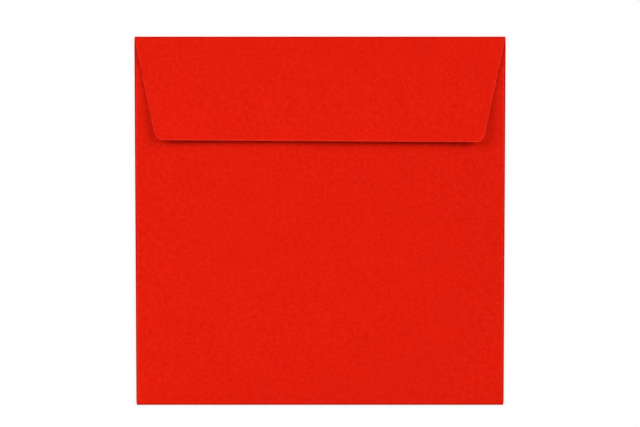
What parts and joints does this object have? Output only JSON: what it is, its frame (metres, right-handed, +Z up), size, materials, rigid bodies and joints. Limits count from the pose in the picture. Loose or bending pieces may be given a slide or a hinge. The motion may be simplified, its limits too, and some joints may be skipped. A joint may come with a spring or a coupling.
{
  "type": "square envelope",
  "caption": "Flat square paper pocket envelope with glued side tabs and a straight flap that folds open and carries a covered adhesive strip.",
  "frame": {"origin": "on the surface that the envelope lies on, under the middle of its square outline", "axes": "+X across the envelope to the right as its back is read, +Y towards the fold of the flap, +Z up out of the back"},
  "size_m": [0.16, 0.16, 0.003],
  "materials": {
    "red_paper": "matt uncoated, dyed through",
    "seam_glue": "dried paste, thin and dull",
    "seal_adhesive": "clear tacky film",
    "liner": "smooth silicone-coated paper"
  },
  "bodies": {
    "pocket": {"front_panel": "red_paper", "back_panel": "red_paper", "top_fold": "red_paper", "bottom_fold": "red_paper", "left_side_fold": "red_paper", "right_side_fold": "red_paper", "left_side_tab": "red_paper", "right_side_tab": "red_paper", "left_seam_glue": "seam_glue", "right_seam_glue": "seam_glue"},
    "flap": {"seal_flap": "red_paper", "seal_strip": "seal_adhesive"},
    "liner": {"release_liner": "liner"}
  },
  "joints": [
    {"name": "flap_hinge", "type": "hinge", "parent": "pocket", "child": "flap", "pos_m": [0, 0.07941, 0.00059], "axis": [-1, 0, 0], "range_deg": [-1.1, 177], "deforming": ["top_fold"]},
    {"name": "liner_pull", "type": "slide", "parent": "flap", "child": "liner", "axis": [0, -0.9992, 0.0396], "range_m": [0, 0.024]}
  ]
}
